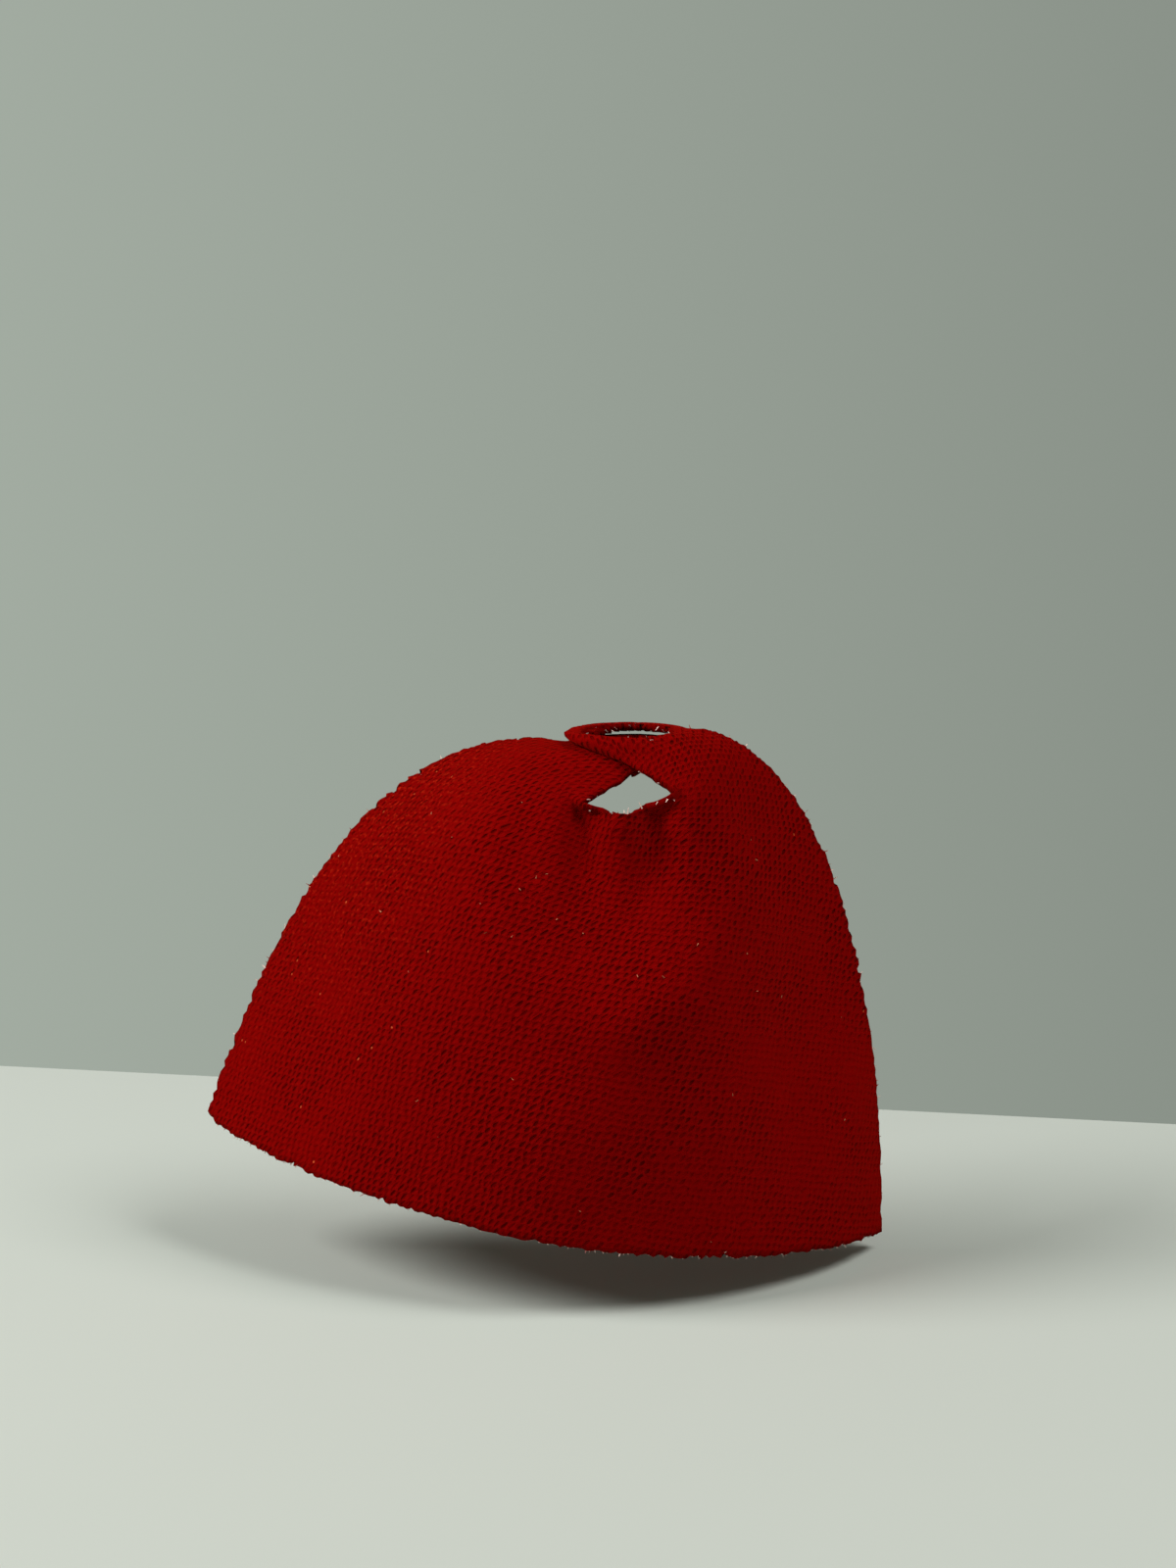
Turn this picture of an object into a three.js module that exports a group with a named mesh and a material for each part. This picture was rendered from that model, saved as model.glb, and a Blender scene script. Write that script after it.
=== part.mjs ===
// A toy figure's superhero cape: one die-cut piece of knitted cloth, draped as it hangs from the
// figure's neck post. Millimetres, +Z up, +X to the wearer's right, +Y the way the wearer faces.
// The origin is the centre of the punched neck holes, on the underside of the lower neck tab.
//
// The cloth is one sheet. It is modelled as four regions, because cloth bends and rigid solids
// don't: the two neck tabs that lie on each other round the neck post, the yoke that lies over the
// shoulders, and the skirt that hangs behind and swings out below them.

import * as THREE from "three";

// ---- Driving dimensions -------------------------------------------------------------------

const CLOTH = 0.4; // thickness of the knitted cloth
const TAB_GAP = 0.3; // clear space between the tabs, and between them and the neckline

const NECK_HOLE_RADIUS = 2.5; // punched hole, a loose fit on a 4.8 mm neck post
const TAB_MARGIN = 1.7; // cloth left round the punched hole

const NECK_STANDOFF = 0.8; // how far the neckline bellies out behind the tabs
const NECK_DIP = 3.0; // how far the neckline drops at the centre of the back
const NECKLINE_TURN = 110; // degrees round the neck from the centre back to each front edge

const SHOULDER_LEFT = 12.6; // reach of the cloth over each shoulder before it falls
const SHOULDER_RIGHT = 9.5;
const SHOULDER_BACK = 7.2; // how far behind the neck the cloth falls
const SHOULDER_CROWN = 0.8; // lift of the front edges where they cross the shoulders
const SHOULDER_FALL = 9.5; // how much lower the cloth turns down at the centre of the back
const SIDE_BULGE = 3.0; // how far the front edges bow outwards
const HIP_SHARE = 0.34; // where they bow most, as a share of the way from shoulder to hem
const BACK_BELLY = 2.2; // how far the cloth bellies out behind at that height

const DROP = 24.7; // neck to hem, straight down, at the centre of the back
const HEM_BACK = 12.5; // how far the hem stands behind the neck at its centre
const HEM_SHIFT = -3.8; // sideways swing of the hem's centre
const HEM_TILT = 3.7; // how much the cape is turned up to the left
// Each lower corner: sideways from the neck, behind it, above the centre apart from the tilt,
// how much the hem's spacing tightens towards it, and the power by which the hem curves round.
const LEFT_CORNER = { side: 24.3, back: 0.5, rise: -0.4, tighten: 0.15, curve: 1.6 };
const RIGHT_CORNER = { side: 14.6, back: 2.0, rise: 0.6, tighten: 0.2, curve: 1.9 };

const YOKE_DEPTH = 6.4; // the yoke reaches this far below the neck
const BEND_GAP = 0.5; // clear space between yoke and skirt, so that the skirt can swing
const GATHER_DEPTH = 0.55; // pleats behind the neck, where the neckline is taken in
const GATHER_LENGTH = 7.0;
const GATHER_SPREAD = 0.3; // half width of the gathered stretch, as a share of a side

const ACROSS = 44; // facets from front edge to front edge
const DOWN_YOKE = 10;
const DOWN_SKIRT = 16;
const TAB_SEGMENTS = 40;

// ---- The sheet's middle surface -----------------------------------------------------------

const TAB_RADIUS = NECK_HOLE_RADIUS + TAB_MARGIN;
const TAB_PITCH = CLOTH + TAB_GAP; // the upper tab lies one thickness and a gap above the lower
const HALF = CLOTH / 2;

const mix = (a, b, k) => a + (b - a) * k;
const smooth = (k) => {
  const c = Math.min(1, Math.max(0, k));
  return c * c * (3 - 2 * c);
};

// s runs from -1 at the left front edge, through 0 at the centre back, to 1 at the right edge.
const sideOf = (s) =>
  s < 0
    ? { shoulder: SHOULDER_LEFT, corner: LEFT_CORNER }
    : { shoulder: SHOULDER_RIGHT, corner: RIGHT_CORNER };

// The top edge, from one tab round the back of the neck to the other.
function necklinePoint(s) {
  const turn = THREE.MathUtils.degToRad(s * NECKLINE_TURN);
  const belly = 1 - smooth(Math.abs(s) / 0.8);
  const radius = TAB_RADIUS + TAB_GAP + NECK_STANDOFF * belly;
  const tabLevel = HALF + TAB_PITCH * smooth((s + 0.6) / 1.2);
  return new THREE.Vector3(
    radius * Math.sin(turn),
    -radius * Math.cos(turn),
    tabLevel - (NECK_DIP + HALF) * belly,
  );
}

// Where each rib leaves the shoulder: the first handle of its curve.
function shoulderPoint(s) {
  const q = Math.abs(s);
  const turn = (s * Math.PI) / 2;
  return new THREE.Vector3(
    sideOf(s).shoulder * Math.sin(turn),
    -SHOULDER_BACK * Math.cos(turn) + 0.8 * q,
    SHOULDER_CROWN * q * q - SHOULDER_FALL * (1 - q) ** 3.2,
  );
}

// The lower edge.
function hemPoint(s) {
  const q = Math.abs(s);
  const { side, back, rise, tighten, curve } = sideOf(s).corner;
  const reach = Math.sign(s) * side - HEM_SHIFT;
  return new THREE.Vector3(
    HEM_SHIFT + reach * (q + tighten * (q - q ** 3)),
    -HEM_BACK + (HEM_BACK - back) * q ** curve,
    -DROP + rise * q * q - HEM_TILT * s,
  );
}

// Pleats behind the neck: one ridge with a valley on each side, fading down the back.
function gather(s, depth) {
  const across = Math.min(1, Math.abs(s) / GATHER_SPREAD);
  const down = Math.max(0, 1 - depth / GATHER_LENGTH);
  return GATHER_DEPTH * Math.cos(2 * Math.PI * across) * (1 - across) * down * down;
}

// One rib of the sheet runs over the shoulder and down to the hem.
function ribOf(s) {
  const top = necklinePoint(s);
  const shoulder = shoulderPoint(s);
  const hem = hemPoint(s);
  const hip = shoulder.clone().lerp(hem, HIP_SHARE);
  hip.x += SIDE_BULGE * s * Math.abs(s);
  hip.y -= BACK_BELLY * Math.cos((s * Math.PI) / 2);
  return new THREE.CubicBezierCurve3(top, shoulder, hip, hem);
}

function sheetPoint(s, t) {
  const rib = ribOf(s);
  const p = rib.getPoint(t);
  p.y -= gather(s, rib.v0.z - p.z);
  return p;
}

function sheetNormal(s, t) {
  const d = 1e-3;
  const a = Math.min(1 - d, Math.max(-1 + d, s));
  const b = Math.min(1 - d, Math.max(d, t));
  const across = sheetPoint(a + d, b).sub(sheetPoint(a - d, b));
  const down = sheetPoint(a, b + d).sub(sheetPoint(a, b - d));
  return across.cross(down).normalize().negate();
}

// The share of a rib at which it has dropped to height z.
function shareAt(s, z) {
  let low = 0.02;
  let high = 1;
  for (let i = 0; i < 40; i++) {
    const mid = (low + high) / 2;
    if (sheetPoint(s, mid).z > z) low = mid;
    else high = mid;
  }
  return (low + high) / 2;
}

// ---- Solids -------------------------------------------------------------------------------

// Thickens the sheet between two shares of each rib into one closed solid.
function sheetSolid(from, to, down) {
  const rows = down + 1;
  const columns = ACROSS + 1;
  const positions = [];
  for (const face of [1, -1])
    for (let j = 0; j < rows; j++)
      for (let i = 0; i < columns; i++) {
        const s = (2 * i) / ACROSS - 1;
        const t = mix(from(s), to(s), j / down);
        const p = sheetPoint(s, t).addScaledVector(sheetNormal(s, t), face * HALF);
        positions.push(p.x, p.y, p.z);
      }

  const index = [];
  const at = (face, j, i) => (face * rows + j) * columns + i;
  const quad = (a, b, c, d) => index.push(a, b, c, a, c, d);
  for (let j = 0; j < down; j++)
    for (let i = 0; i < ACROSS; i++) {
      quad(at(0, j, i), at(0, j + 1, i), at(0, j + 1, i + 1), at(0, j, i + 1));
      quad(at(1, j, i), at(1, j, i + 1), at(1, j + 1, i + 1), at(1, j + 1, i));
    }
  for (let i = 0; i < ACROSS; i++) {
    quad(at(0, 0, i), at(0, 0, i + 1), at(1, 0, i + 1), at(1, 0, i));
    quad(at(0, down, i + 1), at(0, down, i), at(1, down, i), at(1, down, i + 1));
  }
  for (let j = 0; j < down; j++) {
    quad(at(0, j + 1, 0), at(0, j, 0), at(1, j, 0), at(1, j + 1, 0));
    quad(at(0, j, ACROSS), at(0, j + 1, ACROSS), at(1, j + 1, ACROSS), at(1, j, ACROSS));
  }
  return new THREE.BufferGeometry()
    .setAttribute("position", new THREE.Float32BufferAttribute(positions, 3))
    .setIndex(index);
}

// A ring of cloth round the punched hole.
function tabSolid() {
  const outline = new THREE.Shape().absarc(0, 0, TAB_RADIUS, 0, 2 * Math.PI);
  outline.holes.push(new THREE.Path().absarc(0, 0, NECK_HOLE_RADIUS, 0, 2 * Math.PI, true));
  return new THREE.ExtrudeGeometry(outline, {
    depth: CLOTH,
    bevelEnabled: false,
    curveSegments: TAB_SEGMENTS,
  });
}

// ---- Assembly -----------------------------------------------------------------------------

const redCloth = new THREE.MeshStandardMaterial({
  name: "red_knit",
  color: 0xb50a0e,
  roughness: 0.85,
  metalness: 0,
  side: THREE.DoubleSide,
});

const cape = new THREE.Group();

function addRegion(name, geometry, height = 0) {
  const mesh = new THREE.Mesh(geometry, redCloth);
  mesh.name = name;
  mesh.position.z = height;
  cape.add(mesh);
}

const yokeFoot = (s) => shareAt(s, -YOKE_DEPTH);
const skirtTop = (s) => shareAt(s, -YOKE_DEPTH - BEND_GAP);

addRegion("left_neck_tab", tabSolid());
addRegion("right_neck_tab", tabSolid(), TAB_PITCH);
addRegion("shoulder_yoke", sheetSolid(() => 0, yokeFoot, DOWN_YOKE));
addRegion("back_skirt", sheetSolid(skirtTop, () => 1, DOWN_SKIRT));

export default cape;
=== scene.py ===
"""A toy figure's superhero cape: one die-cut piece of knitted cloth, draped as it is worn."""

import math
import random
from typing import NamedTuple

import bmesh
import bpy
import numpy as np
from bpy.props import FloatProperty, FloatVectorProperty, IntProperty, PointerProperty
from bpy.types import Operator, Panel, PropertyGroup
from mathutils import Matrix, Vector
from mathutils.geometry import delaunay_2d_cdt
from mathutils.kdtree import KDTree


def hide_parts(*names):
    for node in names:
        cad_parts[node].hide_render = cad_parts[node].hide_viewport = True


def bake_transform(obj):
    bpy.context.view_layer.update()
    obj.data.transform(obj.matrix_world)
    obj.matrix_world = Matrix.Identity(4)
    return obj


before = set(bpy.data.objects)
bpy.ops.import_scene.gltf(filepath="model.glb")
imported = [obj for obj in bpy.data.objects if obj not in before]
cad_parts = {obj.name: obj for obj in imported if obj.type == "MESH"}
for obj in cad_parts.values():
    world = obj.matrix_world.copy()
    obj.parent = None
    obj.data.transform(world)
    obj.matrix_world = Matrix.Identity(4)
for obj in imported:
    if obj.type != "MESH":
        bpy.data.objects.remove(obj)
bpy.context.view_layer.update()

bl_info = {
    "name": "Toy cape",
    "version": (1, 0, 0),
    "blender": (4, 5, 0),
    "location": "3D View > Sidebar > Cape",
    "description": "Cuts, drapes and finishes a toy figure's knitted cape",
    "category": "Add Mesh",
}

MM = 0.001
CAPE = "knitted_cape"
FRINGE = "cut_edge_fibres"
LINT = "surface_lint"
CAD_NODES = ("left_neck_tab", "right_neck_tab", "shoulder_yoke", "back_skirt")
CUT_MAP = "cut"  # the UV map that holds each point's place on the flat cut, in metres
RIM = "rim"  # the attribute that rises to 1 at the cut edge


# ---- Sizes and colours ----------------------------------------------------------------------


def length(name, description, default):
    """A length property, given in millimetres."""
    return FloatProperty(
        name=name, description=description, default=default * MM, unit="LENGTH", precision=5
    )


def angle(name, description, default):
    return FloatProperty(
        name=name, description=description, default=math.radians(default), subtype="ANGLE"
    )


def share(name, description, default):
    return FloatProperty(
        name=name, description=description, default=default, min=0, max=1, subtype="FACTOR"
    )


def power(name, description, default):
    return FloatProperty(name=name, description=description, default=default, unit="POWER")


def colour(name, description, default):
    return FloatVectorProperty(
        name=name, description=description, default=default, min=0, max=1, size=3, subtype="COLOR"
    )


class CapePattern(PropertyGroup):
    """The cape as it is die-cut from flat cloth."""

    hole_pitch: length("Hole pitch", "Distance between the centres of the two neck holes", 14)
    hole_radius: length("Hole radius", "Radius of each punched neck hole", 2.5)
    tab_radius: length("Tab radius", "Outer radius of the cloth round each neck hole", 4.2)
    neckline_dip: length("Neckline dip", "How far the neckline is cut below the holes", 8)
    corner_side: length("Corner width", "Sideways place of each lower corner", 23.5)
    corner_drop: length("Corner drop", "Lower corners, below the neck holes", 29.5)
    hem_drop: length("Hem drop", "Middle of the hem, below the neck holes", 32)
    side_bow: length("Side bow", "How far the side edges bow outwards", 3.2)
    notch: length("Edge notch", "Depth of the ragged notches along the cut edge", 0.16)
    cloth: length("Cloth", "Thickness of the knitted cloth", 0.4)


class CapeDrape(PropertyGroup):
    """The cape as it hangs from the neck."""

    tab_turn: angle("Tab turn", "How far each tab is turned when they are stacked", 20)
    tab_pitch: length("Tab pitch", "Height of the upper tab above the lower one", 0.7)
    neck_turn: angle("Neckline turn", "Turn of the neckline from its middle to each tab", 110)
    neck_standoff: length("Neckline standoff", "How far the neckline bellies out behind", 2.5)
    neck_dip: length("Neckline sag", "How far the neckline hangs at the middle of the back", 3.4)
    shoulder_back: length("Shoulder, back", "How far behind the neck the cloth falls", 7.2)
    shoulder_fall: length("Shoulder fall", "How much lower the cloth turns down behind", 7.5)
    wrap: angle("Wrap", "How far each side turns round towards the front", 56)
    belly: length("Belly", "How far the cloth bellies out behind at the hips", 3.0)
    drop: length("Drop", "Neck to hem at the middle of the back", 24.7)
    hem_back: length("Hem, back", "How far the hem stands behind the neck", 12.3)
    hem_shift: length("Hem shift", "Sideways swing of the middle of the hem", -3.8)
    hem_tilt: length("Hem tilt", "How much the cape is turned up to the left", 3.7)
    gather: length("Gathers", "Depth of the folds behind the neck", 0.75)
    gather_place: length("Gather place", "Sideways place of the ridge between the folds", -0.4)
    gather_width: length("Gather width", "Ridge to fold", 1.95)
    gather_fall: length("Gather length", "Length over which the folds fade", 5)
    hollow: length("Hollow", "Depth of the hollow below the neckline", 0.95)
    hollow_place: length("Hollow place", "Sideways place of the hollow", -0.4)
    hollow_drop: length("Hollow drop", "Height of the hollow's middle below the neck", 5.5)
    hollow_reach: length("Hollow reach", "From its middle to the ridge round it", 7.4)
    hollow_ridge: length("Hollow ridge", "Height of the soft ridge round the hollow", 0.45)


class CapeFinish(PropertyGroup):
    """The knit and its fibres."""

    red: colour("Yarn", "Colour of the yarn", (0.262, 0.0010, 0.0009))
    # Painted shade: the dark red painted down in the gaps between the loops; the cut edge is also
    # darkened towards it.
    gap_shade_red: colour("Between loops", "Colour seen down between the loops", (0.10, 0.0005, 0.0005))
    sheen: colour("Sheen", "Colour of filaments that catch the light", (0.62, 0.022, 0.006))
    # Painted glints: pale orange specks painted where filaments catch the light, thickest on the
    # lit left.
    painted_glint: colour("Glints", "Colour of the odd pale filament", (0.66, 0.10, 0.03))
    fibre: colour("Fibre tips", "Colour of the cut ends of the yarn", (0.88, 0.62, 0.54))
    lint_colour: colour("Lint", "Colour of the specks of lint", (0.75, 0.28, 0.14))
    knit_pitch: length("Knit pitch", "Width and height of one loop", 0.4)
    knit_lean: angle("Knit lean", "Lean of the columns of loops from the cut's axis", 9)
    relief: length("Knit relief", "Height of the loops", 0.13)
    fibres: IntProperty(name="Fibre tips", description="Loose ends along the edge", default=420)
    lint: IntProperty(name="Lint", description="Specks caught in the knit", default=32)


class StudioLook(PropertyGroup):
    """The floor, backdrop, light and camera."""

    floor_level: length("Floor level", "Height of the floor from the neck holes", -28.8)
    floor_behind: length("Floor behind", "How far the floor goes on behind the cape", 27)
    floor_turn: angle("Floor turn", "How far the floor's far edge is turned", -9.4)
    floor_colour: colour("Floor", "Colour of the floor", (0.63, 0.665, 0.60))
    wall_colour: colour("Backdrop", "Colour of the backdrop", (0.305, 0.345, 0.30))
    wall_shade: share("Backdrop shading", "How much lighter the left of the backdrop is", 0.22)
    key_power: power("Key light", "Power of the large soft light on the left", 0.85)
    key_azimuth: angle("Key azimuth", "Key light, round from the camera's side", -80)
    key_elevation: angle("Key elevation", "Key light above the horizon", 36)
    fill_power: power("Fill light", "Power of the weaker light on the right", 0.56)
    fill_azimuth: angle("Fill azimuth", "Fill light, round from the camera's side", 70)
    fill_elevation: angle("Fill elevation", "Fill light above the horizon", 55)
    ambient: share("Ambient", "How strongly the backdrop lights the cape", 0.3)
    distance: length("Camera distance", "Camera to neck holes", 135)
    elevation: angle("Camera elevation", "Camera above the horizon", 9)
    lens: FloatProperty(name="Lens", description="Focal length in mm", default=54.7)


# ---- The flat cut ---------------------------------------------------------------------------


def bezier(points, count):
    t = np.linspace(0, 1, count + 1)[:, None]
    a, b, c, d = (np.array(p, float) for p in points)
    return (1 - t) ** 3 * a + 3 * (1 - t) ** 2 * t * b + 3 * (1 - t) * t * t * c + t**3 * d


def stepped(curve, step):
    """The curve at even steps."""
    run = np.r_[0, np.cumsum(np.linalg.norm(np.diff(curve, axis=0), axis=1))]
    at = np.linspace(0, run[-1], max(2, round(run[-1] / step)) + 1)
    return np.stack([np.interp(at, run, curve[:, k]) for k in range(curve.shape[1])], -1)


def along(curve, shares):
    """Points at the given shares of the curve's length."""
    run = np.r_[0, np.cumsum(np.linalg.norm(np.diff(curve, axis=0), axis=1))]
    at = shares * run[-1]
    return np.stack([np.interp(at, run, curve[:, k]) for k in range(curve.shape[1])], -1)


def smooth(k):
    c = np.clip(k, 0, 1)
    return c * c * (3 - 2 * c)


TAB_START = math.radians(205)  # where the neckline meets the tab's outline, round from X
TAB_END = math.radians(-8)  # where the side edge leaves it
NECKLINE_EASE = 1.6  # length of the neckline's two handles, in millimetres
LATTICE_REACH = 26  # the points are laid out this far to each side, in millimetres


class Cut:
    """The flat cut in millimetres: X across, Y up, the neck holes on Y = 0."""

    def __init__(self, pattern):
        mm = {k: getattr(pattern, k) / MM for k in CapePattern.__annotations__}
        self.hole = mm["hole_radius"]
        self.tab = mm["tab_radius"]
        self.half = mm["hole_pitch"] / 2
        self.dip = mm["neckline_dip"]
        self.drop = mm["hem_drop"]
        corner = np.array((mm["corner_side"], -mm["corner_drop"]))
        turn = np.linspace(TAB_START, TAB_END, 80)
        ear = np.stack([self.half + self.tab * np.cos(turn), self.tab * np.sin(turn)], -1)
        inward = np.array((math.sin(TAB_START), -math.cos(TAB_START)))
        neck = bezier(
            [(0, -self.dip), (NECKLINE_EASE, -self.dip), ear[0] - NECKLINE_EASE * inward, ear[0]],
            60,
        )
        chord = corner - ear[-1]
        out = np.array((-chord[1], chord[0])) / np.linalg.norm(chord) * mm["side_bow"]
        side = bezier(
            [ear[-1], ear[-1] + chord * 0.32 + out, ear[-1] + chord * 0.68 + out, corner], 120
        )
        hem = bezier(
            [corner, (corner[0] * 0.7, -self.drop + 0.8), (corner[0] * 0.3, -self.drop),
             (0, -self.drop)], 120,
        )
        self.neck, self.ear, self.side, self.hem = neck, ear, side, hem

    def outline(self, step):
        parts = [stepped(c, step) for c in (self.neck, self.ear, self.side, self.hem)]
        right = np.vstack([p[:-1] for p in parts] + [parts[-1][-1:]])
        return np.vstack([right, right[1:-1][::-1] * (-1, 1)])

    def mesh(self, step):
        """Even triangles inside the outline and round the two punched holes."""
        loops = [self.outline(step)]
        for side in (-1, 1):
            turn = np.linspace(0, 2 * math.pi, round(2 * math.pi * self.hole / step), False)
            ring = np.stack([np.cos(turn), np.sin(turn)], -1) * self.hole
            loops.append(ring + (side * self.half, 0))
        edge = np.vstack(loops)
        rows = np.arange(-self.drop - 1, self.tab + 1, step * math.sqrt(0.75))
        columns = np.arange(-LATTICE_REACH, LATTICE_REACH, step)
        lattice = np.vstack(
            [np.stack([columns + (k % 2) * step / 2, np.full(len(columns), y)], -1)
             for k, y in enumerate(rows)]
        )
        lattice = lattice[self.on_cloth(lattice, loops[0])]
        near = nearest(edge, lattice)
        lattice = lattice[near > step * 0.6]
        points = np.vstack([edge, lattice])
        bonds, first = [], 0
        for loop in loops:
            bonds += [(first + i, first + (i + 1) % len(loop)) for i in range(len(loop))]
            first += len(loop)
        found = delaunay_2d_cdt([Vector(p) for p in points], bonds, [], 0, 1e-6)
        flat = np.array([tuple(p) for p in found[0]])
        faces = np.array([f for f in found[2] if len(f) == 3])
        middle = flat[faces].mean(axis=1)
        faces = faces[self.on_cloth(middle, loops[0])]
        a, b, c = (flat[faces[:, k]] for k in range(3))
        turned = (b - a)[:, 0] * (c - a)[:, 1] - (b - a)[:, 1] * (c - a)[:, 0] < 0
        faces[turned] = faces[turned][:, ::-1]
        return flat, faces

    def on_cloth(self, points, outline):
        x, y = points[:, 0], points[:, 1]
        inside = np.zeros(len(points), bool)
        for (x0, y0), (x1, y1) in zip(outline, np.roll(outline, 1, axis=0)):
            crosses = (y0 > y) != (y1 > y)
            inside ^= crosses & (x < (x1 - x0) * (y - y0) / (y1 - y0 + 1e-12) + x0)
        for side in (-1, 1):
            inside &= np.hypot(x - side * self.half, y) > self.hole
        return inside

    def ribs(self, s, t):
        """Flat place of the point at share t of rib s; s runs from -1 to 1 across the back."""
        q = np.abs(s)
        corner = self.side[-1]
        top = np.stack(
            [s * self.side[0, 0], -self.dip + (self.dip + self.side[0, 1]) * smooth(q)], -1
        )
        hem = np.vstack([self.hem * (-1, 1), self.hem[:-1][::-1]])
        place = top + (along(hem, (s + 1) / 2) - top) * t[:, None]
        bow = along(self.side, t) - (self.side[0] + (corner - self.side[0]) * t[:, None])
        place[:, 0] += bow[:, 0] * np.sign(s) * q**1.5
        place[:, 1] += bow[:, 1] * q**1.5
        return place

    def rib_shares(self, flat):
        """The rib and the share along it of each flat point."""
        across, down = 241, 161
        first = -0.12  # the tabs reach above the tops of the ribs
        s, t = (g.ravel() for g in np.meshgrid(np.linspace(-1, 1, across),
                                               np.linspace(first, 1, down)))
        tree = tree_of(self.ribs(s, t))
        found = [tree.find((x, y, 0))[1] for x, y in flat]
        s, t = s[found], t[found]
        tiny = 1e-3
        here = self.ribs(s, t)
        ds = (self.ribs(s + tiny, t) - here) / tiny
        dt = (self.ribs(s, t + tiny) - here) / tiny
        off = flat - here
        area = ds[:, 0] * dt[:, 1] - ds[:, 1] * dt[:, 0]
        area = np.where(np.abs(area) < 1e-6, 1e-6, area)
        step_s = (off[:, 0] * dt[:, 1] - off[:, 1] * dt[:, 0]) / area
        step_t = (ds[:, 0] * off[:, 1] - ds[:, 1] * off[:, 0]) / area
        cell_s, cell_t = 2 / (across - 1), (1 - first) / (down - 1)
        s = s + np.clip(step_s, -cell_s, cell_s)
        t = t + np.clip(step_t, -cell_t, cell_t)
        return np.clip(s, -1, 1), t


def tree_of(points):
    """A search tree of flat or solid points."""
    tree = KDTree(len(points))
    for i, p in enumerate(points):
        tree.insert((p[0], p[1], p[2] if len(p) > 2 else 0), i)
    tree.balance()
    return tree


def nearest(line, points):
    """How far each flat point lies from the nearest point of the line."""
    tree = tree_of(line)
    return np.array([tree.find((x, y, 0))[2] for x, y in points])


# ---- The worn shape -------------------------------------------------------------------------


class Side(NamedTuple):
    """One side edge and its lower corner, in millimetres sideways, forwards and up."""

    shoulder: tuple  # the edge's upper handle
    hip: tuple  # the edge's lower handle
    corner: tuple  # sideways and forwards
    rise: float  # of the corner above the hem's middle, apart from the tilt
    tighten: float  # how much the hem's spacing tightens towards the corner
    curve: float  # the power by which the hem curves round to the corner


LEFT = Side((-12.4, 1.0, 1.4), (-19.0, 0.8, -6.0), (-24.2, -0.5), -0.4, 0.15, 1.6)
RIGHT = Side((9.9, 1.0, 0.4), (14.6, -0.4, -9.6), (14.5, -2.0), 0.6, 0.2, 1.9)
HIP_LEVEL = -13.5  # height of the ribs' lower handles at the middle of the back
HIP_INSET = 2.6  # how far those handles stand in from the hem, before the belly
ROUNDING = 1.6  # the power by which the back rounds off towards the sides
TAB_LEVEL = 0.2  # middle of the lower tab's thickness
TAB_FLAT = 3.4  # each tab lies flat this far from the middle of its hole
TAB_FADE = 2.2  # and turns down into the sheet over this length
TAB_HELD = 3.3  # the cloth this near to the hole's middle stays put while the rest settles
TAB_FOOT = -1.2  # so does the rest of the tab, down to here below that middle


def of_side(s, key):
    """The left side's values where s is negative, and the right side's elsewhere."""
    left, right = np.atleast_1d(getattr(LEFT, key)), np.atleast_1d(getattr(RIGHT, key))
    return [np.where(s < 0, a, b) for a, b in zip(left, right)]


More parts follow.
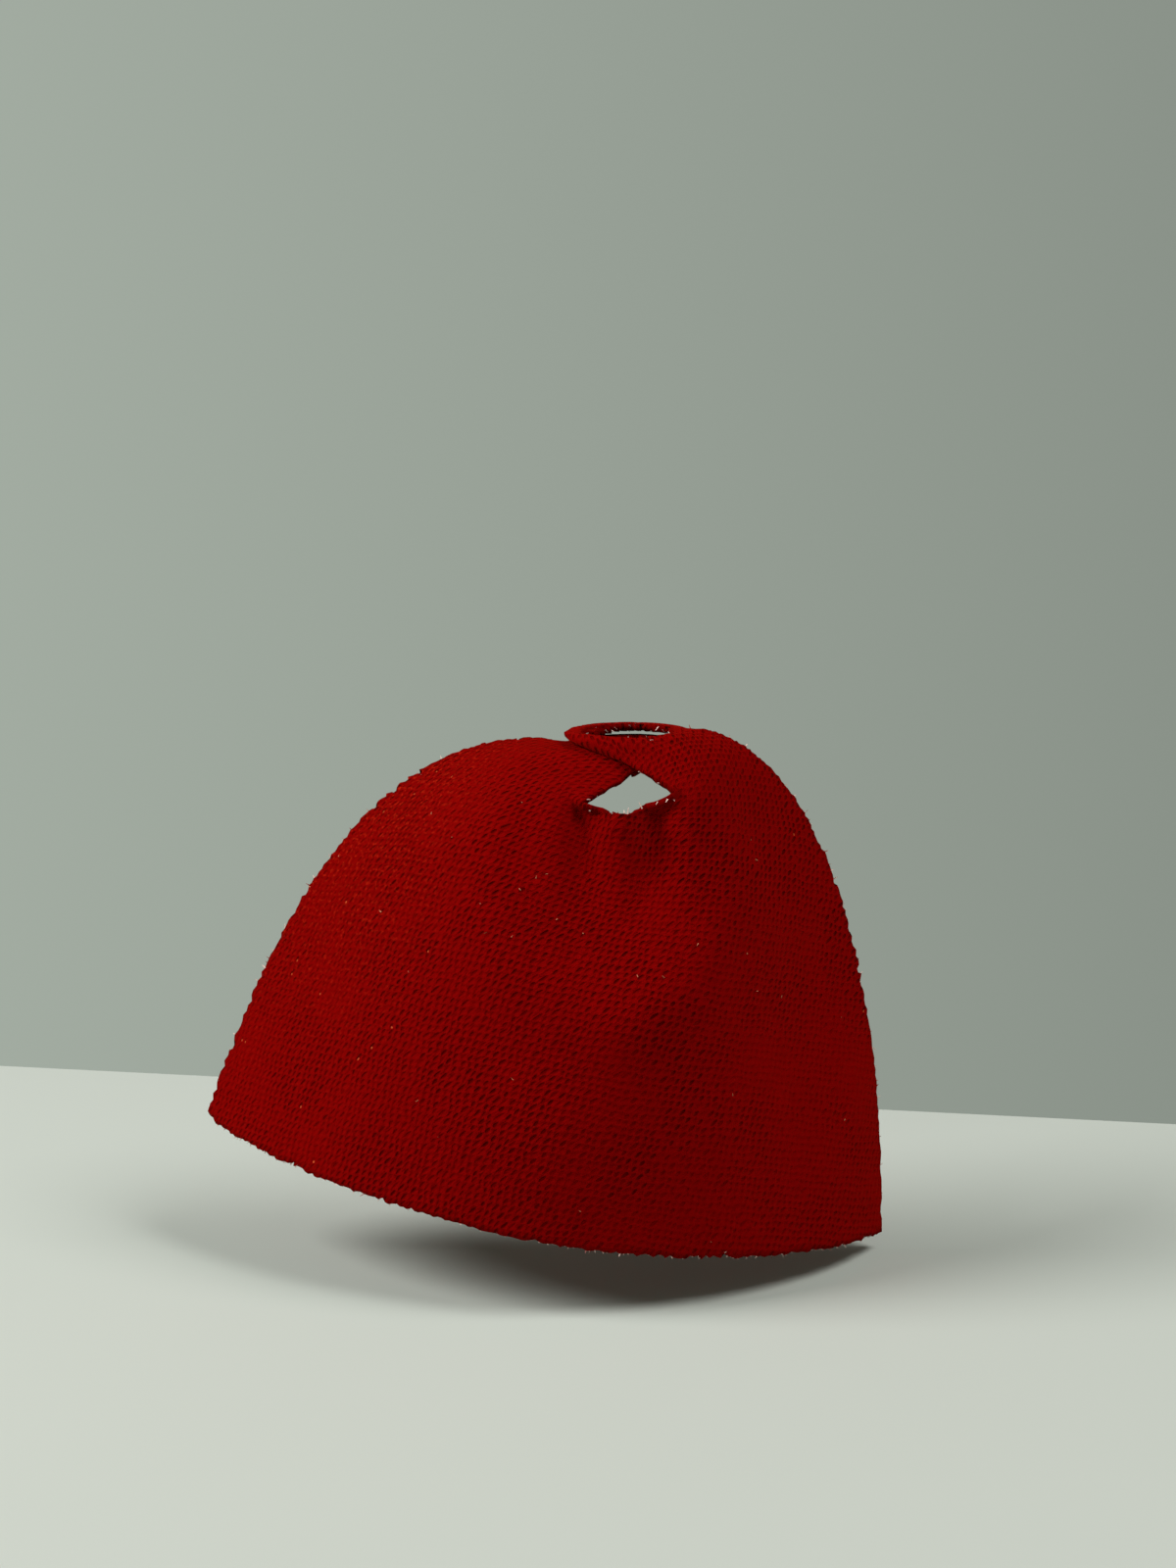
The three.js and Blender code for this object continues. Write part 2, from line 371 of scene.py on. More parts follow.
def worn(cut, drape, flat, s, t):
    """Where each flat point lies when the cape is worn, in millimetres."""
    mm = {k: getattr(drape, k) / MM for k in CapeDrape.__annotations__}
    q = np.abs(s)

    def neckline(s):
        turn = s * drape.neck_turn
        belly = 1 - smooth(np.abs(s) / 0.8)
        radius = cut.tab + mm["neck_standoff"] * belly - 0.25 * (1 - belly)
        level = TAB_LEVEL + mm["tab_pitch"] * smooth((s + 0.6) / 1.2)
        return np.stack(
            [radius * np.sin(turn), -radius * np.cos(turn), level - mm["neck_dip"] * belly], -1
        )

    def hem(s):
        q = np.abs(s)
        side, forward = of_side(s, "corner")
        rise, tighten, curve = (of_side(s, key)[0] for key in ("rise", "tighten", "curve"))
        return np.stack(
            [
                mm["hem_shift"] + (side - mm["hem_shift"]) * (q + tighten * (q - q**3)),
                -mm["hem_back"] + (forward + mm["hem_back"]) * q**curve,
                -mm["drop"] + rise * q * q - mm["hem_tilt"] * s,
            ],
            -1,
        )

    def handle(key, middle, back, low, fade):
        """A rib's handle, from the one at the middle of the back round to the side edge's."""
        side, forward, up = of_side(s, key)
        out = np.sin(q * drape.wrap) / math.sin(drape.wrap)
        return np.stack(
            [
                middle * (1 - out) + side * out,
                forward + (back - forward) * (1 - q**ROUNDING),
                up + (low - up) * (1 - q) ** fade,
            ],
            -1,
        )

    whole = np.linspace(-1, 1, 481)
    bottom = along(hem(whole), (s + 1) / 2)
    top = neckline(s)
    upper = handle("shoulder", 0, -mm["shoulder_back"], -mm["shoulder_fall"], 2.6)
    hip_back = -mm["hem_back"] + HIP_INSET - mm["belly"]
    lower = handle("hip", mm["hem_shift"] * 0.6, hip_back, HIP_LEVEL, 1.8)
    u = t[:, None]
    place = (
        (1 - u) ** 3 * top + 3 * (1 - u) ** 2 * u * upper + 3 * (1 - u) * u * u * lower
        + u**3 * bottom
    )

    # The tabs lie flat on each other round the neck, turned so that the sides fall away.
    held = np.zeros(len(flat), bool)
    for side, level in ((-1, TAB_LEVEL), (1, TAB_LEVEL + mm["tab_pitch"])):
        arm = flat - (side * cut.half, 0)
        reach = np.hypot(arm[:, 0], arm[:, 1])
        c, d = math.cos(side * drape.tab_turn), math.sin(side * drape.tab_turn)
        disc = np.stack(
            [arm[:, 0] * c - arm[:, 1] * d, arm[:, 0] * d + arm[:, 1] * c,
             np.full(len(flat), level)], -1,
        )
        k = (1 - smooth((reach - TAB_FLAT) / TAB_FADE))[:, None]
        place = place * (1 - k) + disc * k
        held |= (reach < TAB_HELD) | ((reach < cut.tab + 0.1) & (arm[:, 1] > TAB_FOOT))
    return place, held


def folded(drape, place, flat):
    """Folds under the neckline, in a hollow with a soft ridge round it."""
    mm = {k: getattr(drape, k) / MM for k in CapeDrape.__annotations__}
    x, z = place[:, 0], place[:, 2]
    aside = (x - mm["gather_place"]) / mm["gather_width"]
    fade = np.clip(1 - (-mm["neck_dip"] - z) / mm["gather_fall"], 0, 1) ** 1.3
    fold = mm["gather"] * np.cos(aside * math.pi) * np.exp(-((aside / 1.9) ** 2)) * fade
    reach = np.hypot(x - mm["hollow_place"], z + mm["hollow_drop"]) / mm["hollow_reach"]
    hollow = mm["hollow"] * np.exp(-((reach / 0.62) ** 2))
    ridge = mm["hollow_ridge"] * np.exp(-(((reach - 1) / 0.3) ** 2))
    behind = smooth((-place[:, 1] - 3) / 2.5) * smooth((-flat[:, 1] - 5) / 4)
    place = place.copy()
    place[:, 1] += (hollow - ridge - fold) * behind
    return place


# ---- Settling and refining the sheet --------------------------------------------------------

SIM_SCALE = 25.0  # the solver is tuned for garment sizes, so the toy is settled this much larger
SETTLE_FRAMES = 30
SETTLE_PULL = (0, -1, -2)  # down, and a little out behind
EVEN_ROUNDS = 24


def edges_of(faces):
    """Each edge's two points, and how many faces use it."""
    pairs = np.sort(np.vstack([faces[:, [0, 1]], faces[:, [1, 2]], faces[:, [2, 0]]]), axis=1)
    return np.unique(pairs, axis=0, return_counts=True)


def settled(cut, flat, faces, place, held):
    """Lets the sheet settle as cloth, with its edges and tabs held, then evens it out."""
    scale = MM * SIM_SCALE
    mesh = bpy.data.meshes.new("settling")
    mesh.from_pydata((place * scale).tolist(), [], faces.tolist())
    body = bpy.data.objects.new("settling", mesh)
    bpy.context.scene.collection.objects.link(body)
    body.shape_key_add(name="Worn")
    rest = body.shape_key_add(name="Cut flat")
    for point, (x, y) in zip(rest.data, flat * scale):
        point.co = (x, 0, y)
    rest.value = 0
    pairs, uses = edges_of(faces)
    rim = np.unique(pairs[uses == 1])
    neckline = nearest(np.vstack([cut.neck, cut.neck * (-1, 1)]), flat[rim]) < 0.05
    holes = np.hypot(np.abs(flat[rim, 0]) - cut.half, flat[rim, 1]) < cut.tab + 0.05
    outer = rim[~neckline & ~holes]
    weight = held.astype(float)
    weight[outer] = 1
    group = body.vertex_groups.new(name="held")
    for i in np.nonzero(weight)[0]:
        group.add([int(i)], float(weight[i]), "REPLACE")

    cloth = body.modifiers.new("Settle", "CLOTH")
    knit = cloth.settings
    knit.rest_shape_key = rest
    knit.vertex_group_mass = "held"
    knit.pin_stiffness = 1
    knit.quality = 8
    knit.mass = 0.15
    knit.tension_stiffness = knit.compression_stiffness = 15
    knit.shear_stiffness = 5
    knit.bending_model = "ANGULAR"
    knit.bending_stiffness = 100
    knit.tension_damping = knit.compression_damping = 20
    knit.shear_damping = knit.bending_damping = 10
    knit.air_damping = 5
    cloth.collision_settings.use_collision = False
    scene = bpy.context.scene
    scene.gravity = SETTLE_PULL
    scene.frame_start, scene.frame_end = 1, SETTLE_FRAMES
    cloth.point_cache.frame_start, cloth.point_cache.frame_end = 1, SETTLE_FRAMES
    for step in range(1, SETTLE_FRAMES + 1):
        scene.frame_set(step)
    shown = body.evaluated_get(bpy.context.evaluated_depsgraph_get())
    place = np.array([v.co[:] for v in shown.to_mesh().vertices]) / scale
    shown.to_mesh_clear()
    bpy.data.objects.remove(body)
    scene.frame_set(1)
    return evened(place, faces, weight >= 1)


def evened(place, faces, fixed):
    """Moves each free point half way to the middle of its neighbours, round after round."""
    pairs, uses = edges_of(faces)
    both = np.vstack([pairs, pairs[:, ::-1]])
    rim = np.zeros(len(place), bool)
    rim[np.unique(pairs[uses == 1])] = True
    on_rim = np.tile(uses == 1, 2)
    keep = ~rim[both[:, 0]] | on_rim  # a point on the edge follows only the edge
    a, b = both[keep].T
    count = np.bincount(a, minlength=len(place))[:, None]
    for _ in range(EVEN_ROUNDS):
        total = np.zeros_like(place)
        np.add.at(total, a, place[b])
        place = np.where(fixed[:, None], place, (place + total / count) / 2)
    return place


def fitted(flat, values, wanted, count=14):
    """Values carried from the coarse points to the wanted ones by a local quadratic fit."""
    tree = tree_of(flat)
    found = np.array([[i for _, i, _ in tree.find_n((x, y, 0), count)] for x, y in wanted])
    off = flat[found] - wanted[:, None]
    x, y = off[..., 0], off[..., 1]
    terms = np.stack([np.ones_like(x), x, y, x * x, x * y, y * y], -1)
    reach = np.hypot(x, y)
    weight = np.exp(-((reach / (0.55 * reach.max(axis=1, keepdims=True))) ** 2))[..., None]
    left = np.einsum("nki,nkj->nij", terms * weight, terms) + 1e-9 * np.eye(6)
    right = np.einsum("nki,nkj->nij", terms * weight, values[found])
    return np.linalg.solve(left, right)[:, 0]


def flattened(flat, faces, place):
    """The worn sheet opened out flat again with the least stretch: its true cut, in mm."""
    mesh = bpy.data.meshes.new("opening")
    mesh.from_pydata(place.tolist(), [], faces.tolist())
    mesh.uv_layers.new(name="open")
    body = bpy.data.objects.new("opening", mesh)
    bpy.context.scene.collection.objects.link(body)
    bpy.context.view_layer.objects.active = body
    body.select_set(True)
    bpy.ops.object.mode_set(mode="EDIT")
    bpy.ops.mesh.select_all(action="SELECT")
    bpy.ops.uv.unwrap(method="MINIMUM_STRETCH", no_flip=True, iterations=30, margin=0)
    bpy.ops.object.mode_set(mode="OBJECT")
    opened = np.zeros((len(place), 2))
    for loop, uv in zip(mesh.loops, mesh.uv_layers["open"].data):
        opened[loop.vertex_index] = uv.uv
    bpy.data.objects.remove(body)

    # The unwrap turns and scales the cut as it likes: bring it back to size and upright.
    def area(p):
        a, b, c = (p[faces[:, k]] for k in range(3))
        if p.shape[1] == 2:
            return abs(np.cross(b - a, c - a)).sum() / 2
        return np.linalg.norm(np.cross(b - a, c - a), axis=1).sum() / 2

    opened *= math.sqrt(area(place) / area(opened))
    opened -= opened.mean(axis=0)
    aim = flat - flat.mean(axis=0)
    u, _, v = np.linalg.svd(opened.T @ aim)
    opened = opened @ (u @ v) + flat.mean(axis=0)
    return opened, area(opened)


# ---- Nodes ----------------------------------------------------------------------------------


class Wire:
    """A socket that can be used in sums: each operator adds a Math node."""

    def __init__(self, bench, socket):
        self.bench, self.socket = bench, socket

    def math(self, operation, *values):
        return self.bench.node("ShaderNodeMath", {"operation": operation}, dict(enumerate(values)))

    def __add__(self, other):
        return self.math("ADD", self, other)

    def __sub__(self, other):
        return self.math("SUBTRACT", self, other)

    def __rsub__(self, other):
        return self.math("SUBTRACT", other, self)

    def __mul__(self, other):
        return self.math("MULTIPLY", self, other)

    def __truediv__(self, other):
        return self.math("DIVIDE", self, other)

    __radd__, __rmul__ = __add__, __mul__

    def cos(self):
        return self.math("COSINE", self)

    def floor(self):
        return self.math("FLOOR", self)

    def over(self, limit):
        return self.math("GREATER_THAN", self, limit)

    def ramp(self, low, high):
        """0 at low and 1 at high, smoothly between."""
        return self.bench.node(
            "ShaderNodeMapRange", {"interpolation_type": "SMOOTHSTEP"},
            {"Value": self, "From Min": low, "From Max": high},
        )


class Bench:
    """Builds the nodes of one material or world."""

    def __init__(self, owner):
        owner.use_nodes = True
        self.owner, self.tree = owner, owner.node_tree
        self.tree.nodes.clear()

    def node(self, kind, settings=None, values=None, output=0):
        """A node with its settings, then the values or links of its sockets."""
        made = self.tree.nodes.new(kind)
        for key, value in (settings or {}).items():
            setattr(made, key, value)
        for key, value in (values or {}).items():
            if isinstance(value, Wire):
                self.tree.links.new(value.socket, made.inputs[key])
            else:
                made.inputs[key].default_value = value
        return Wire(self, made.outputs[output]) if made.outputs else made

    def also(self, wire, output):
        """Another output of the node that a wire comes from."""
        return Wire(self, wire.socket.node.outputs[output])

    def mixed(self, amount, a, b):
        """Colour a where the amount is 0, and b where it is 1."""
        a, b = (c if isinstance(c, Wire) else (*c, 1) for c in (a, b))
        return self.node("ShaderNodeMix", {"data_type": "RGBA"}, {0: amount, 6: a, 7: b}, 2)

    def noise(self, where, size, detail=2.0, roughness=0.5):
        """Noise of about this size in metres, from 0 to 1."""
        return self.node(
            "ShaderNodeTexNoise", {},
            {"Vector": where, "Scale": 1 / size, "Detail": detail, "Roughness": roughness},
        )

    def surface(self, **values):
        values = {key.replace("_", " "): value for key, value in values.items()}
        shader = self.node("ShaderNodeBsdfPrincipled", {}, values)
        self.node("ShaderNodeOutputMaterial", {}, {"Surface": shader})
        return self.owner


GAP_SLOPE = math.radians(55)  # lean of the gaps between the loops, from the courses


def red_knit(finish):
    """A fine knit: leaning columns of loops, every other gap deeper, with painted shade in the
    gaps and painted sheen and odd painted glints on the filaments.
    """
    bench = Bench(bpy.data.materials.new("red knit"))
    place = bench.node("ShaderNodeUVMap", {"uv_map": CUT_MAP})
    across = bench.node("ShaderNodeSeparateXYZ", {}, {"Vector": place})
    down = bench.also(across, "Y")
    uneven = bench.noise(place, 1.1 * MM, 2)
    drift = bench.noise(place, 7 * MM, 1)
    column = (across - down * math.tan(finish.knit_lean)) / finish.knit_pitch + uneven * 1.5
    course = down / finish.knit_pitch + drift * 1.2 + uneven * 1.1

    # Each gap between the loops is a short slot that runs up to the right.
    c, d = math.cos(GAP_SLOPE), math.sin(GAP_SLOPE)
    cell_x, cell_y = column.floor(), course.floor()
    x, y = column - cell_x - 0.5, course - cell_y - 0.5
    lengthways, crossways = x * c + y * d, y * c - x * d
    slot = 1 - (lengthways * lengthways * 4.2 + crossways * crossways * 22).ramp(0.1, 1.35)
    cell = bench.node("ShaderNodeCombineXYZ", {}, {"X": cell_x, "Y": cell_y})
    luck = bench.node("ShaderNodeTexWhiteNoise", {"noise_dimensions": "2D"}, {"Vector": cell})
    every_other = bench.node(
        "ShaderNodeMath", {"operation": "PINGPONG"}, {0: cell_x + cell_y, 1: 1}
    )
    tight = bench.noise(place, 5 * MM, 2).ramp(0.3, 0.7)
    # Painted light: the left side, where the key light falls, gets less painted shade in the gaps
    # and more painted sheen and glints; low on the right the painted shade in the gaps is weaker
    # too.
    lit_left = (0 - across).ramp(5 * MM, 15 * MM)
    high = down.ramp(-30 * MM, -8 * MM)
    low_right = across.ramp(4 * MM, 13 * MM) * (1 - high)
    # How strongly the gaps are painted dark: at random, less on the lit left and less low on the
    # right.
    depth = 0.55 + tight * 0.75 - lit_left * 0.3 - low_right * 0.5
    gap = slot * (0.15 + luck * 0.45 + every_other * 0.38) * depth

    # The filaments run the same way as the slots.
    grain = bench.node(
        "ShaderNodeCombineXYZ", {},
        {"X": (column * c + course * d) * 0.9, "Y": (course * c - column * d) * 2.6},
    )
    hairs = bench.node(
        "ShaderNodeTexNoise", {}, {"Vector": grain, "Scale": 1.0, "Detail": 3.0, "Roughness": 0.6}
    )
    patch = bench.noise(place, 1.3 * MM, 3, 0.6)
    crown = (column * (2 * math.pi)).cos() + (course * (2 * math.pi)).cos()
    height = crown * 0.1 + hairs * 0.9 - gap * 1.1
    # Painted sheen and glints: the fibres are painted shining most on the lit left shoulder, and
    # the painted glints are thickest on the lit left.
    fuzz = bench.noise(place, 0.26 * MM, 2, 0.7)
    bright = (luck - (1 - lit_left) * 0.011).over(0.988)
    painted_glint = bright * (0.16 - x * x * 4 - (y + 0.3) * (y + 0.3) * 2).over(0.1)
    sparkle = hairs.ramp(0.6, 0.78) * patch.ramp(0.4, 0.65)
    shine = fuzz.ramp(0.53, 0.68) * lit_left * (0.1 + high * 0.9)

    rim = bench.node("ShaderNodeAttribute", {"attribute_name": RIM}, {}, "Fac")
    yarn = bench.mixed(patch.ramp(0.3, 0.7) * 0.35, finish.red, [c * 0.8 for c in finish.red])
    # Painted shade down in the gaps between the loops.
    tone = bench.mixed(gap, yarn, finish.gap_shade_red)
    # Darker towards the cut edge, mixed towards the same dark red.
    tone = bench.mixed(rim * 0.45, tone, finish.gap_shade_red)
    # Painted sheen on the filaments, here and there everywhere and most on the lit left shoulder.
    tone = bench.mixed(sparkle * 0.28 + shine * 0.6, tone, finish.sheen)
    # Painted glints.
    tone = bench.mixed(painted_glint * 0.9, tone, finish.painted_glint)
    bump = bench.node(
        "ShaderNodeBump", {}, {"Height": height, "Distance": finish.relief, "Strength": 1.0}
    )
    return bench.surface(
        Base_Color=tone,
        Roughness=0.92 - painted_glint * 0.3,
        Specular_IOR_Level=0.0,
        Sheen_Weight=0.12,
        Sheen_Roughness=0.4,
        Sheen_Tint=(1.0, 0.06, 0.02, 1.0),
        Normal=bump,
    )


def loose_yarn(name, tint, pale):
    """Single filaments, as red as the knit in some places and pale in others."""
    bench = Bench(bpy.data.materials.new(name))
    place = bench.node("ShaderNodeTexCoord", {}, {}, "Object")
    patch = bench.noise(place, 0.5 * MM, 2)
    tone = bench.mixed(patch.ramp(0.32, 0.48), tint, pale)
    return bench.surface(
        Base_Color=tone, Roughness=0.75 + patch * 0.2, Specular_IOR_Level=0.2,
        Sheen_Weight=0.2, Sheen_Roughness=0.4,
    )


def matt(name, tint, grain):
    bench = Bench(bpy.data.materials.new(name))
    place = bench.node("ShaderNodeTexCoord", {}, {}, "Object")
    patch = bench.noise(place, grain, 4, 0.6)
    tone = bench.mixed(patch * 0.12, tint, [c * 0.82 for c in tint])
    return bench.surface(Base_Color=tone, Roughness=0.85, Specular_IOR_Level=0.25)


# ---- Operators ------------------------------------------------------------------------------


SPACING = 0.7  # between the points of the sheet that settles, in millimetres
RIM_WIDTH = 0.3  # the yarn is darker this near to the cut edge, in millimetres
CORNER_REACH = 0.3  # the lower corners stay sharp this far in from their tips
CORNER_HEIGHT = 0.5  # and this far up the side
NOTCH_CHANCE = 0.06  # now and then a notch is deeper by 1.2 times the usual depth
HEM_FRAY = 0.45  # the hem runs along the courses of loops and frays less than the sides
HEM_ENDS = 0.5  # and its loose ends are shorter


def placed(name, mesh, material):
    piece = bpy.data.objects.new(name, mesh)
    bpy.context.scene.collection.objects.link(piece)
    mesh.materials.append(material)
    return piece


def frayed(bm, cut, notch):
    """Moves each point of the cut edge a little in or out, apart from the two lower corners."""
    draw = random.Random(7)
    corner_x, corner_y = cut.side[-1]
    rim = [v for v in bm.verts if v.is_boundary]
    moves = {}
    for v in rim:
        a, b = (e.other_vert(v).co for e in v.link_edges if e.is_boundary)
        out = (b - a).cross(Vector((0, 0, 1))).normalized()
        inside = sum((e.other_vert(v).co for e in v.link_edges), Vector()) / len(v.link_edges)
        if out.dot(inside - v.co) > 0:
            out.negate()
        depth = notch * (draw.uniform(-1.0, 0.7) - (1.2 if draw.random() < NOTCH_CHANCE else 0))
        if v.co.y < corner_y:
            depth *= HEM_FRAY
        if abs(v.co.x) > corner_x - CORNER_REACH and v.co.y < corner_y + CORNER_HEIGHT:
            depth = 0
        moves[v] = out * depth
    for v, move in moves.items():
        v.co += move


def refined(cut, flat, faces, values, notch):
    """A finer sheet with a frayed edge, carried onto the worn shape, and its points opened out."""
    bm = bmesh.new()
    points = [bm.verts.new((x, y, 0)) for x, y in flat]
    for face in faces:
        bm.faces.new([points[i] for i in face])
    bmesh.ops.subdivide_edges(bm, edges=bm.edges, cuts=2, use_grid_fill=True)
    bmesh.ops.triangulate(bm, faces=bm.faces)
    frayed(bm, cut, notch)
    fine = np.array([(v.co.x, v.co.y) for v in bm.verts])
    near = nearest(np.array([(v.co.x, v.co.y) for v in bm.verts if v.is_boundary]), fine)
    values = fitted(flat, values, fine)
    for v, spot in zip(bm.verts, values):
        v.co = Vector(spot[:3]) * MM
    bmesh.ops.recalc_face_normals(bm, faces=bm.faces)
    layer = bm.loops.layers.uv.new(CUT_MAP)
    bm.verts.index_update()
    for face in bm.faces:
        face.smooth = True
        for corner in face.loops:
            corner[layer].uv = values[corner.vert.index, 3:] * MM
    mesh = bpy.data.meshes.new(CAPE)
    bm.to_mesh(mesh)
    bm.free()
    rim = mesh.attributes.new(RIM, "FLOAT", "POINT")
    rim.data.foreach_set("value", [max(0.0, 1 - d / RIM_WIDTH) for d in near])
    return mesh, values[:, 3:]


class CAPE_OT_sheet(Operator):
    """Cuts the cape, drapes it as it is worn, and gives it its thickness and knit"""

    bl_idname = "cape.sheet"
    bl_label = "Knitted cape"

    def execute(self, context):
        scene = context.scene
        pattern, drape, finish = scene.cape_pattern, scene.cape_drape, scene.cape_finish
        cut = Cut(pattern)
        flat, faces = cut.mesh(SPACING)
        s, t = cut.rib_shares(flat)
        place, held = worn(cut, drape, flat, s, t)
        place = settled(cut, flat, faces, place, held)
        place = folded(drape, place, flat)
        opened, area = flattened(flat, faces, place)
        values = np.hstack([place, opened])
        mesh, opened = refined(cut, flat, faces, values, pattern.notch / MM)

        piece = placed(CAPE, mesh, red_knit(finish))
        thick = piece.modifiers.new("Cloth thickness", "SOLIDIFY")
        thick.thickness = pattern.cloth
        thick.offset = 0
        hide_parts(*CAD_NODES)
        width, height = (opened.max(axis=0) - opened.min(axis=0)) * MM
        scene["cape_cut"] = [width, height, area * MM * MM]
        return {"FINISHED"}


def sliver(bm, root, lean, size, width):
    """One filament: a thin tapering spike from its root."""
    turn = Vector((0, 0, 1)).rotation_difference(lean).to_matrix().to_4x4()
    bmesh.ops.create_cone(
        bm, cap_ends=True, segments=3, radius1=width, radius2=width * 0.3, depth=size,
        matrix=Matrix.Translation(root + lean * size * 0.4) @ turn,
    )


class CAPE_OT_fibres(Operator):
    """Adds the loose ends of yarn along the cut edge"""

    bl_idname = "cape.fibres"
    bl_label = "Cut edge fibres"

    def execute(self, context):
        finish = context.scene.cape_finish
        cape = bpy.data.objects[CAPE]
        source = bmesh.new()
        source.from_mesh(cape.data)
        # The punched neck holes and the tabs are cut cleaner, so they keep a third of the ends.
        rim = [v for v in source.verts if v.is_boundary and (v.co.z < -3 * MM or v.index % 3 == 0)]
        draw = random.Random(11)
        bm = bmesh.new()
        for v in draw.sample(rim, min(finish.fibres, len(rim))):
            middles = [f.calc_center_median() for f in v.link_faces]
            out = (v.co - sum(middles, Vector()) / len(middles)).normalized()
            lean = out + Vector([draw.uniform(-0.5, 0.5) for _ in range(3)])
            lean += v.normal * draw.uniform(-1.2, 1.2)
            lift = v.normal * draw.uniform(-0.18, 0.18) * MM
            size = draw.uniform(0.18, 0.36) * MM * (1.5 if draw.random() < 0.1 else 1)
            if out.z < -0.75:
                size *= HEM_ENDS
            sliver(bm, v.co + lift, lean.normalized(), size, draw.uniform(0.034, 0.06) * MM)
        source.free()
        mesh = bpy.data.meshes.new(FRINGE)
        bm.to_mesh(mesh)
        bm.free()
        piece = placed(FRINGE, mesh, loose_yarn("cut yarn", finish.red, finish.fibre))
        return {"FINISHED"}


class CAPE_OT_lint(Operator):
    """Scatters specks of lint and pulled filaments over the outside of the cape"""

    bl_idname = "cape.lint"
    bl_label = "Surface lint"

    def execute(self, context):
        finish = context.scene.cape_finish
        pattern = context.scene.cape_pattern
        cape = bpy.data.objects[CAPE]
        draw = random.Random(23)
        bm = bmesh.new()
        faces = [f for f in cape.data.polygons if f.center.z < -2 * MM]
        for f in draw.sample(faces, finish.lint):
            side = f.normal if f.normal.y < 0 else -f.normal
            lie = Vector([draw.uniform(-1, 1) for _ in range(3)]).cross(side).normalized()
            lean = (lie + side * draw.uniform(0.1, 0.5)).normalized()
            root = f.center + side * pattern.cloth * 0.52
            sliver(bm, root, lean, draw.uniform(0.08, 0.2) * MM, draw.uniform(0.018, 0.035) * MM)
        mesh = bpy.data.meshes.new(LINT)
        bm.to_mesh(mesh)
        bm.free()
        piece = placed(LINT, mesh, loose_yarn("lint", finish.red, finish.lint_colour))
        return {"FINISHED"}


class CAPE_OT_bend(Operator):
    bl_idname = "cape.bend"
    bl_label = "Cloth and bend"

    def execute(self, context):
        pieces = [bpy.data.objects[name] for name in (CAPE, FRINGE, LINT)]
        # Each piece's transform is baked into its mesh.
        for piece in pieces:
            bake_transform(piece)
        return {"FINISHED"}


LAMP_SIZE = 160 * MM
LAMP_DISTANCE = 320 * MM
FLOOR_SIZE = 1.0  # side of the square floor, in metres
CAMERA_SHIFT = (-0.025, -0.021875)  # of the picture's longer side, sideways and up
WALL_SPREAD = 0.3  # the backdrop's shading runs this far to each side, for a unit of distance


def lamp(name, energy, azimuth, elevation):
    """A large soft light; azimuth 0 is on the camera's side and 90 to its right."""
    light = bpy.data.lights.new(name, "AREA")
    light.shape, light.size, light.energy = "DISK", LAMP_SIZE, energy
    holder = bpy.data.objects.new(name, light)
    away = Vector((math.sin(azimuth) * math.cos(elevation),
                   -math.cos(azimuth) * math.cos(elevation), math.sin(elevation)))
    holder.location = away * LAMP_DISTANCE
    holder.rotation_euler = away.to_track_quat("Z", "Y").to_euler()
    bpy.context.scene.collection.objects.link(holder)
    return holder


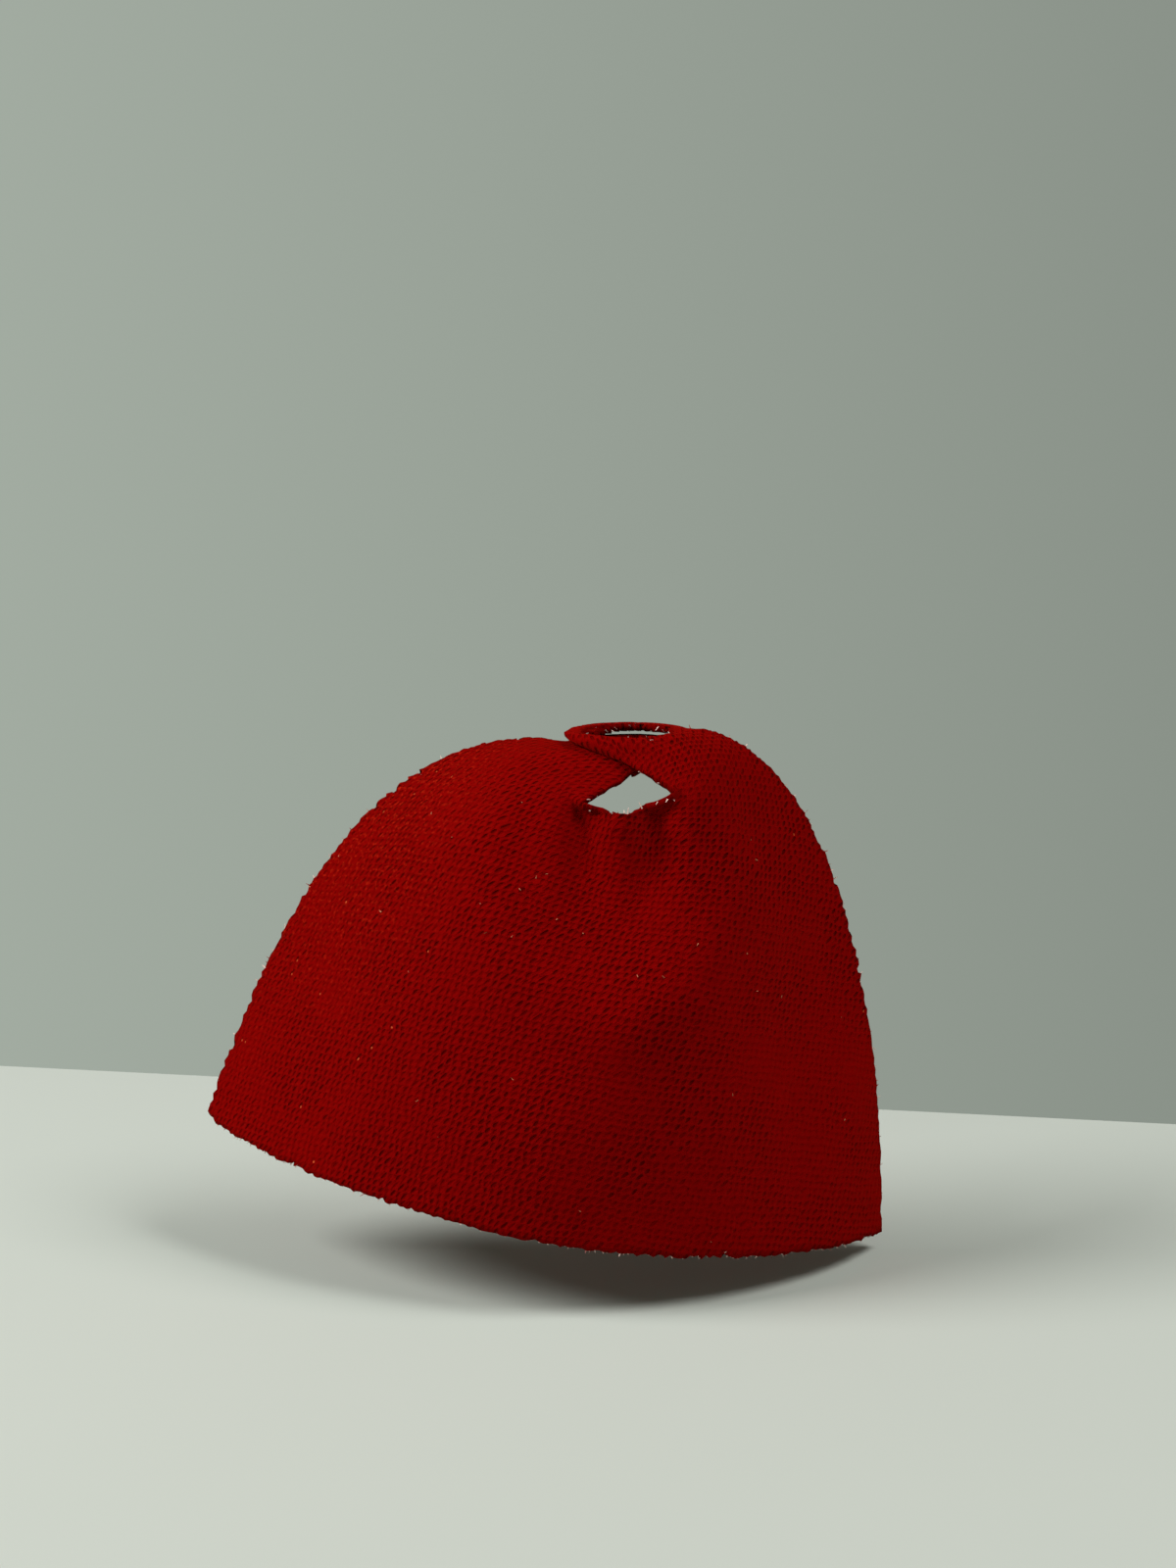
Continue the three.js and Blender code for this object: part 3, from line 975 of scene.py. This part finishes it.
class CAPE_OT_studio(Operator):
    """Sets up the floor, the backdrop, the light and the camera"""

    bl_idname = "cape.studio"
    bl_label = "Studio"

    def execute(self, context):
        scene = context.scene
        look = scene.cape_studio
        bm = bmesh.new()
        bmesh.ops.create_grid(bm, x_segments=1, y_segments=1, size=FLOOR_SIZE / 2)
        bmesh.ops.rotate(bm, verts=bm.verts, matrix=Matrix.Rotation(look.floor_turn, 3, "Z"))
        back = look.floor_behind - FLOOR_SIZE / 2 / math.cos(look.floor_turn)
        bmesh.ops.translate(bm, verts=bm.verts, vec=(0, back, look.floor_level))
        mesh = bpy.data.meshes.new("floor")
        bm.to_mesh(mesh)
        bm.free()
        floor = placed("floor", mesh, matt("pale floor", look.floor_colour, 20 * MM))

        lamps = [
            lamp("key", look.key_power, look.key_azimuth, look.key_elevation),
            lamp("fill", look.fill_power, look.fill_azimuth, look.fill_elevation),
        ]

        # The backdrop is seen at its own colour with a painted shading, a little lighter on the
        # left, and lights the cape more weakly.
        bench = Bench(bpy.data.worlds.new("backdrop"))
        way = bench.node("ShaderNodeTexCoord", output="Generated")
        sideways = bench.node("ShaderNodeSeparateXYZ", {}, {"Vector": way})
        shade = bench.node(
            "ShaderNodeMapRange", {},
            {"Value": sideways, "From Min": -WALL_SPREAD, "From Max": WALL_SPREAD,
             "To Min": 1 + look.wall_shade, "To Max": 1 - look.wall_shade},
        )
        seen = bench.node("ShaderNodeLightPath", output="Is Camera Ray")
        level = bench.node(
            "ShaderNodeMapRange", {}, {"Value": seen, "To Min": look.ambient, "To Max": shade}
        )
        ground = bench.node(
            "ShaderNodeBackground", {}, {"Color": (*look.wall_colour, 1), "Strength": level}
        )
        bench.node("ShaderNodeOutputWorld", {}, {"Surface": ground})
        scene.world = bench.owner
        scene.view_settings.view_transform = "Standard"

        camera = bpy.data.objects.new("camera", bpy.data.cameras.new("camera"))
        view = camera.data
        view.lens, view.sensor_width = look.lens, 36
        view.shift_x, view.shift_y = CAMERA_SHIFT
        view.clip_start, view.clip_end = 0.005, 10
        away = Vector((0, -math.cos(look.elevation), math.sin(look.elevation)))
        camera.location = away * look.distance
        camera.rotation_euler = away.to_track_quat("Z", "Y").to_euler()
        scene.collection.objects.link(camera)
        scene.camera = camera
        return {"FINISHED"}


class CAPE_PT_panel(Panel):
    """Lists the cape's steps"""

    bl_idname = "CAPE_PT_panel"
    bl_label = "Toy cape"
    bl_space_type = "VIEW_3D"
    bl_region_type = "UI"
    bl_category = "Cape"

    def draw(self, context):
        for step in STEPS:
            self.layout.operator(step.bl_idname)


STEPS = (CAPE_OT_sheet, CAPE_OT_fibres, CAPE_OT_lint, CAPE_OT_bend, CAPE_OT_studio)
GROUPS = {
    "cape_pattern": CapePattern,
    "cape_drape": CapeDrape,
    "cape_finish": CapeFinish,
    "cape_studio": StudioLook,
}


def register():
    for kind in (*GROUPS.values(), *STEPS, CAPE_PT_panel):
        bpy.utils.register_class(kind)
    for name, kind in GROUPS.items():
        setattr(bpy.types.Scene, name, PointerProperty(type=kind))


def unregister():
    for name in GROUPS:
        delattr(bpy.types.Scene, name)
    for kind in reversed((*GROUPS.values(), *STEPS, CAPE_PT_panel)):
        bpy.utils.unregister_class(kind)


def main():
    register()
    for step in STEPS:
        group, name = step.bl_idname.split(".")
        getattr(getattr(bpy.ops, group), name)()


if __name__ == "__main__":
    main()
